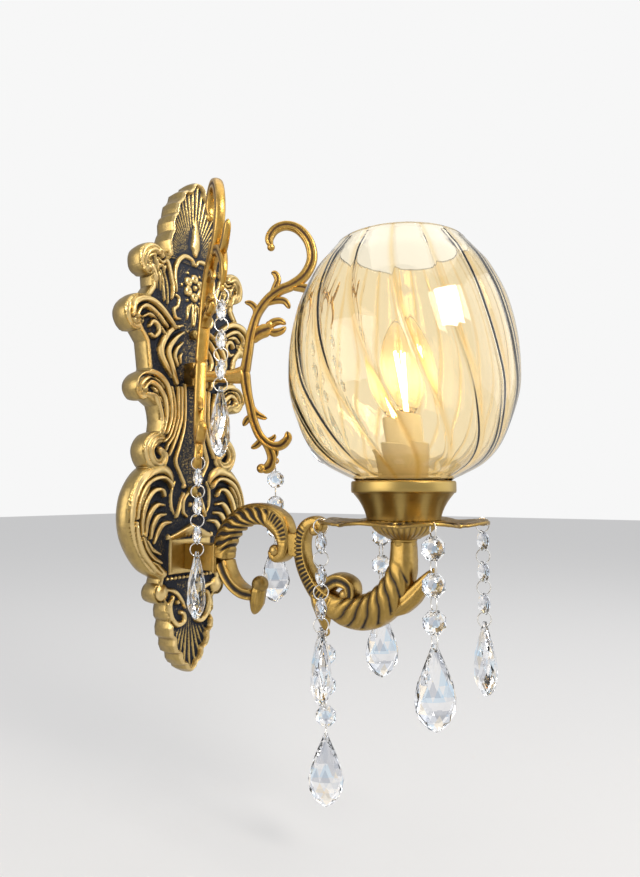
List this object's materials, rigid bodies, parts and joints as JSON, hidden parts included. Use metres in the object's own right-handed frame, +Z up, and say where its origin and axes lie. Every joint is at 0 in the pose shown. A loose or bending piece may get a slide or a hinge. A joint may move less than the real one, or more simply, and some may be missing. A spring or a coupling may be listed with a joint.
{
  "type": "crystal wall sconce",
  "caption": "Antique brass wall light: scrolled backplate and arm, two side branches, ribbed amber glass shade over a candle bulb, and hanging crystal strings.",
  "frame": {"origin": "midway between the two wall screws, on the wall plane", "axes": "+Z up, +Y into the wall, the light stands out along -Y, X is the mirror direction"},
  "size_m": [0.1482, 0.2771, 0.4601],
  "materials": {
    "plate_brass": "antique cast brass, dark in its recesses",
    "cast_brass": "antique cast brass",
    "branch_brass": "antique gilt brass",
    "satin_brass": "spun and brushed",
    "crystal": "clear cut crystal",
    "link_wire": "bright wire",
    "amber_glass": "clear amber glass, blown in a ribbed mould",
    "bulb_glass": "clear bulb glass",
    "filament": "lit LED filament strips on a glass stem",
    "nickel": "nickel-plated screw cap",
    "holder_plastic": "cream thermoplastic",
    "zinc_steel": "zinc-plated steel"
  },
  "bodies": {
    "root": {"arm_nipple": "zinc_steel", "arm_scroll_inner": "cast_brass", "arm_scroll_outer": "cast_brass", "backplate": "plate_brass", "bracket_studs": "zinc_steel", "branch_block": "cast_brass", "branch_left": "branch_brass", "branch_right": "branch_brass", "branch_screw": "zinc_steel", "cap_nuts": "satin_brass", "cup_nipple": "zinc_steel", "cup_nut": "zinc_steel", "drip_pan": "cast_brass", "glass_cup": "satin_brass", "lampholder": "holder_plastic", "lampholder_insert": "holder_plastic", "pan_dome": "cast_brass", "wall_bracket": "zinc_steel"},
    "string_pan_front_left": {"beads_pan_front_left": "crystal", "links_pan_front_left": "link_wire"},
    "drop_pan_front_left": {"drop_pan_front_left": "crystal"},
    "string_pan_front_right": {"beads_pan_front_right": "crystal", "links_pan_front_right": "link_wire"},
    "drop_pan_front_right": {"drop_pan_front_right": "crystal"},
    "string_pan_rear_left": {"beads_pan_rear_left": "crystal", "links_pan_rear_left": "link_wire"},
    "drop_pan_rear_left": {"drop_pan_rear_left": "crystal"},
    "string_pan_rear_right": {"beads_pan_rear_right": "crystal", "links_pan_rear_right": "link_wire"},
    "drop_pan_rear_right": {"drop_pan_rear_right": "crystal"},
    "string_arm": {"beads_arm": "crystal", "links_arm": "link_wire"},
    "drop_arm": {"drop_arm": "crystal"},
    "string_branch_low_left": {"beads_branch_low_left": "crystal", "links_branch_low_left": "link_wire"},
    "drop_branch_low_left": {"drop_branch_low_left": "crystal"},
    "string_branch_high_left": {"beads_branch_high_left": "crystal", "links_branch_high_left": "link_wire"},
    "drop_branch_high_left": {"drop_branch_high_left": "crystal"},
    "string_branch_low_right": {"beads_branch_low_right": "crystal", "links_branch_low_right": "link_wire"},
    "drop_branch_low_right": {"drop_branch_low_right": "crystal"},
    "string_branch_high_right": {"beads_branch_high_right": "crystal", "links_branch_high_right": "link_wire"},
    "drop_branch_high_right": {"drop_branch_high_right": "crystal"},
    "shade": {"glass_shade": "amber_glass"},
    "ring": {"shade_ring": "holder_plastic"},
    "bulb": {"bulb_glass": "bulb_glass", "bulb_cap": "nickel", "bulb_stem": "filament"}
  },
  "joints": [
    {"name": "swing_pan_front_left", "type": "hinge", "parent": "root", "child": "string_pan_front_left", "pos_m": [-0.03741, -0.24041, -0.0774], "axis": [0.7071, -0.7071, 0], "range_deg": [-15, 15]},
    {"name": "sway_pan_front_left", "type": "hinge", "parent": "string_pan_front_left", "child": "drop_pan_front_left", "pos_m": [-0.03741, -0.24041, -0.1417], "axis": [0.7071, 0.7071, 0], "range_deg": [-20, 20]},
    {"name": "swing_pan_front_right", "type": "hinge", "parent": "root", "child": "string_pan_front_right", "pos_m": [0.03741, -0.24041, -0.0774], "axis": [0.7071, 0.7071, 0], "range_deg": [-15, 15]},
    {"name": "sway_pan_front_right", "type": "hinge", "parent": "string_pan_front_right", "child": "drop_pan_front_right", "pos_m": [0.03741, -0.24041, -0.1417], "axis": [-0.7071, 0.7071, 0], "range_deg": [-20, 20]},
    {"name": "swing_pan_rear_left", "type": "hinge", "parent": "root", "child": "string_pan_rear_left", "pos_m": [-0.03741, -0.16559, -0.0774], "axis": [0.7071, 0.7071, 0], "range_deg": [-15, 15]},
    {"name": "sway_pan_rear_left", "type": "hinge", "parent": "string_pan_rear_left", "child": "drop_pan_rear_left", "pos_m": [-0.03741, -0.16559, -0.1417], "axis": [-0.7071, 0.7071, 0], "range_deg": [-20, 20]},
    {"name": "swing_pan_rear_right", "type": "hinge", "parent": "root", "child": "string_pan_rear_right", "pos_m": [0.03741, -0.16559, -0.0774], "axis": [0.7071, -0.7071, 0], "range_deg": [-15, 15]},
    {"name": "sway_pan_rear_right", "type": "hinge", "parent": "string_pan_rear_right", "child": "drop_pan_rear_right", "pos_m": [0.03741, -0.16559, -0.1417], "axis": [0.7071, 0.7071, 0], "range_deg": [-20, 20]},
    {"name": "swing_arm", "type": "hinge", "parent": "root", "child": "string_arm", "pos_m": [0, -0.1436, -0.155], "axis": [0.5, -0.866, 0], "range_deg": [-15, 15]},
    {"name": "sway_arm", "type": "hinge", "parent": "string_arm", "child": "drop_arm", "pos_m": [0, -0.1436, -0.2193], "axis": [0.866, 0.5, 0], "range_deg": [-20, 20]},
    {"name": "swing_branch_low_left", "type": "hinge", "parent": "root", "child": "string_branch_low_left", "pos_m": [-0.04332, -0.06511, -0.0362], "axis": [0.6468, 0.7627, 0], "range_deg": [-15, 15]},
    {"name": "sway_branch_low_left", "type": "hinge", "parent": "string_branch_low_left", "child": "drop_branch_low_left", "pos_m": [-0.04332, -0.06511, -0.1005], "axis": [-0.7627, 0.6468, 0], "range_deg": [-20, 20]},
    {"name": "swing_branch_high_left", "type": "hinge", "parent": "root", "child": "string_branch_high_left", "pos_m": [-0.06004, -0.10136, 0.0735], "axis": [0.5664, 0.8241, 0], "range_deg": [-15, 15]},
    {"name": "sway_branch_high_left", "type": "hinge", "parent": "string_branch_high_left", "child": "drop_branch_high_left", "pos_m": [-0.06004, -0.10136, 0.0092], "axis": [-0.8241, 0.5664, 0], "range_deg": [-20, 20]},
    {"name": "swing_branch_low_right", "type": "hinge", "parent": "root", "child": "string_branch_low_right", "pos_m": [0.04332, -0.06511, -0.0362], "axis": [0.6468, -0.7627, 0], "range_deg": [-15, 15]},
    {"name": "sway_branch_low_right", "type": "hinge", "parent": "string_branch_low_right", "child": "drop_branch_low_right", "pos_m": [0.04332, -0.06511, -0.1005], "axis": [0.7627, 0.6468, 0], "range_deg": [-20, 20]},
    {"name": "swing_branch_high_right", "type": "hinge", "parent": "root", "child": "string_branch_high_right", "pos_m": [0.06004, -0.10136, 0.0735], "axis": [0.5664, -0.8241, 0], "range_deg": [-15, 15]},
    {"name": "sway_branch_high_right", "type": "hinge", "parent": "string_branch_high_right", "child": "drop_branch_high_right", "pos_m": [0.06004, -0.10136, 0.0092], "axis": [0.8241, 0.5664, 0], "range_deg": [-20, 20]},
    {"name": "shade_lift", "type": "slide", "parent": "root", "child": "shade", "axis": [0, 0, 1], "range_m": [0, 0.06]},
    {"name": "ring_lift", "type": "slide", "parent": "shade", "child": "ring", "axis": [0, 0, 1], "range_m": [0, 0.03]},
    {"name": "bulb_lift", "type": "slide", "parent": "ring", "child": "bulb", "axis": [0, 0, 1], "range_m": [0, 0.09]}
  ]
}
